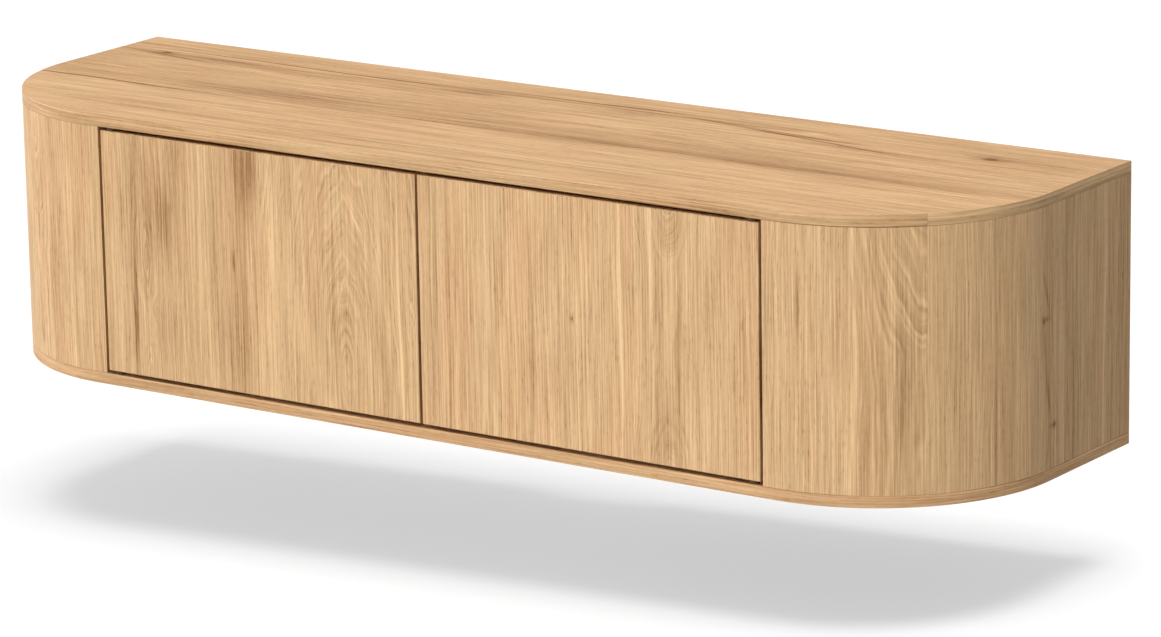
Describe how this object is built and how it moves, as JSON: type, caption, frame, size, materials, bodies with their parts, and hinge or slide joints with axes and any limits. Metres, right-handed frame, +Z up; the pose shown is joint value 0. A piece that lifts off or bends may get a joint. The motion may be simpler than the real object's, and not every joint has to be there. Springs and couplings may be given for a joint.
{
  "type": "floating media console",
  "caption": "Wall-hung media console with rounded ends, flush push-to-open doors, inner shelves, cable ways and a hidden hanging rail.",
  "frame": {"origin": "middle of the wall rail's row of fixing holes, on the wall plane", "axes": "+X to the right along the front as a person facing the doors sees it, +Y into the wall, +Z up"},
  "size_m": [1.6, 0.46, 0.376],
  "materials": {
    "oak_slab": "satin clear-coated light oak veneer, grain along the length",
    "oak_edge": "satin light oak veneer strip",
    "oak_curved": "satin clear-coated light oak veneer, upright grain",
    "oak_door": "satin clear-coated light oak veneer, upright grain",
    "oak_board": "satin light oak veneer on board",
    "plywood": "raw sanded plywood",
    "beech": "raw fluted beech",
    "zinc_screw": "bright zinc plate",
    "steel_plate": "zinc plated sheet",
    "cast_zinc": "cast zinc, satin",
    "hanger_steel": "satin grey paint",
    "nylon": "matte dark brown nylon",
    "grommet_plastic": "matte black",
    "cover_plastic": "matte light grey",
    "latch_plastic": "matte grey",
    "plunger_plastic": "matte light grey"
  },
  "bodies": {
    "cabinet": {"top_slab": "oak_slab", "bottom_slab": "oak_slab", "top_edge_band": "oak_edge", "bottom_edge_band": "oak_edge", "left_curved_side": "oak_curved", "right_curved_side": "oak_curved", "left_upright": "oak_board", "right_upright": "oak_board", "centre_partition": "oak_board", "back_panel": "oak_board", "left_end_back": "oak_board", "right_end_back": "oak_board", "left_lower_former": "plywood", "left_upper_former": "plywood", "right_lower_former": "plywood", "right_upper_former": "plywood", "left_shelf": "oak_board", "right_shelf": "oak_board", "shelf_pins": "cast_zinc", "dowels": "beech", "cam_locks": "cast_zinc", "cam_bolts": "zinc_screw", "pivot_bushes": "nylon", "cable_grommets": "grommet_plastic", "former_screws": "zinc_screw", "wall_rail": "steel_plate", "left_hanger": "hanger_steel", "right_hanger": "hanger_steel", "left_hook": "steel_plate", "right_hook": "steel_plate", "left_hanger_cover": "cover_plastic", "right_hanger_cover": "cover_plastic", "left_hanger_adjusters": "zinc_screw", "right_hanger_adjusters": "zinc_screw", "hanger_screws": "zinc_screw", "left_latch": "latch_plastic", "right_latch": "latch_plastic", "latch_screws": "zinc_screw"},
    "left_door": {"left_door": "oak_door", "left_door_edge_band": "oak_edge", "left_door_pins": "zinc_screw", "left_strike": "steel_plate"},
    "right_door": {"right_door": "oak_door", "right_door_edge_band": "oak_edge", "right_door_pins": "zinc_screw", "right_strike": "steel_plate"},
    "left_plunger": {"left_plunger": "plunger_plastic"},
    "right_plunger": {"right_plunger": "plunger_plastic"}
  },
  "joints": [
    {"name": "left_door_hinge", "type": "hinge", "parent": "cabinet", "child": "left_door", "pos_m": [-0.514, -0.452, -0.128], "axis": [0, 0, -1], "range_deg": [0, 100]},
    {"name": "right_door_hinge", "type": "hinge", "parent": "cabinet", "child": "right_door", "pos_m": [0.514, -0.452, -0.128], "axis": [0, 0, 1], "range_deg": [0, 100]},
    {"name": "left_plunger_slide", "type": "slide", "parent": "cabinet", "child": "left_plunger", "axis": [0, -1, 0], "range_m": [0, 0.03]},
    {"name": "right_plunger_slide", "type": "slide", "parent": "cabinet", "child": "right_plunger", "axis": [0, -1, 0], "range_m": [0, 0.03]}
  ],
  "couplings": [
    {"joint": "left_plunger_slide", "follows": "left_door_hinge", "m_per_rad": 0.01718},
    {"joint": "right_plunger_slide", "follows": "right_door_hinge", "m_per_rad": 0.01718}
  ]
}
